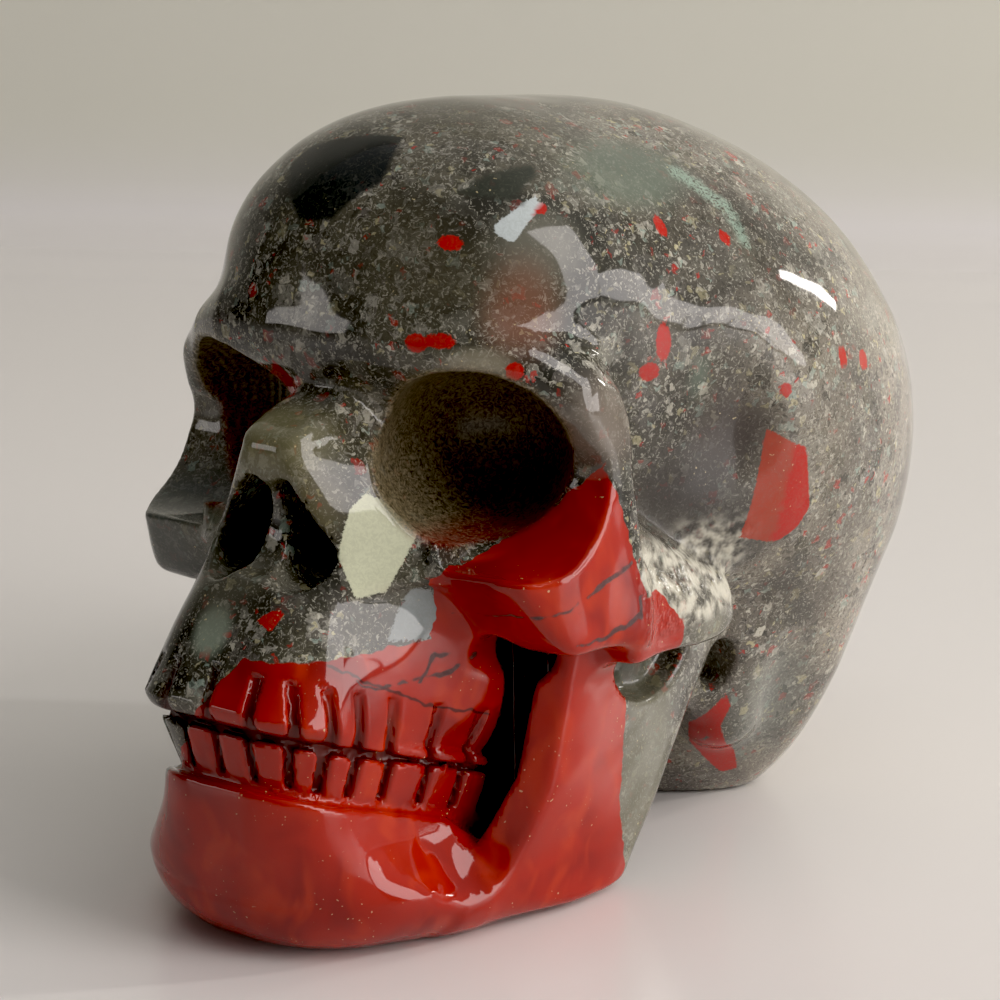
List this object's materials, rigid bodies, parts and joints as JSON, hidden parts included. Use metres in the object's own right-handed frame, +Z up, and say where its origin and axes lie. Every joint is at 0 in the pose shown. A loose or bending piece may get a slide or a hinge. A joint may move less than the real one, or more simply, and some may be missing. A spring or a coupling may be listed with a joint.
{
  "type": "stone skull carving",
  "caption": "Skull carved from one piece of polished bloodstone, with hollow eye sockets, nose opening, grooved teeth and jaw, resting on its jaw and the back of its head",
  "frame": {"origin": "centre of the bounding box on the table, under the middle of the skull", "axes": "+Z up; the face looks toward -Y and the back of the head is at +Y; +X is the skull's own left"},
  "size_m": [0.0827, 0.127, 0.0968],
  "materials": {
    "bloodstone": "polished, mottled grey-green with red jasper"
  },
  "bodies": {
    "root": {"skull": "bloodstone"}
  },
  "joints": []
}
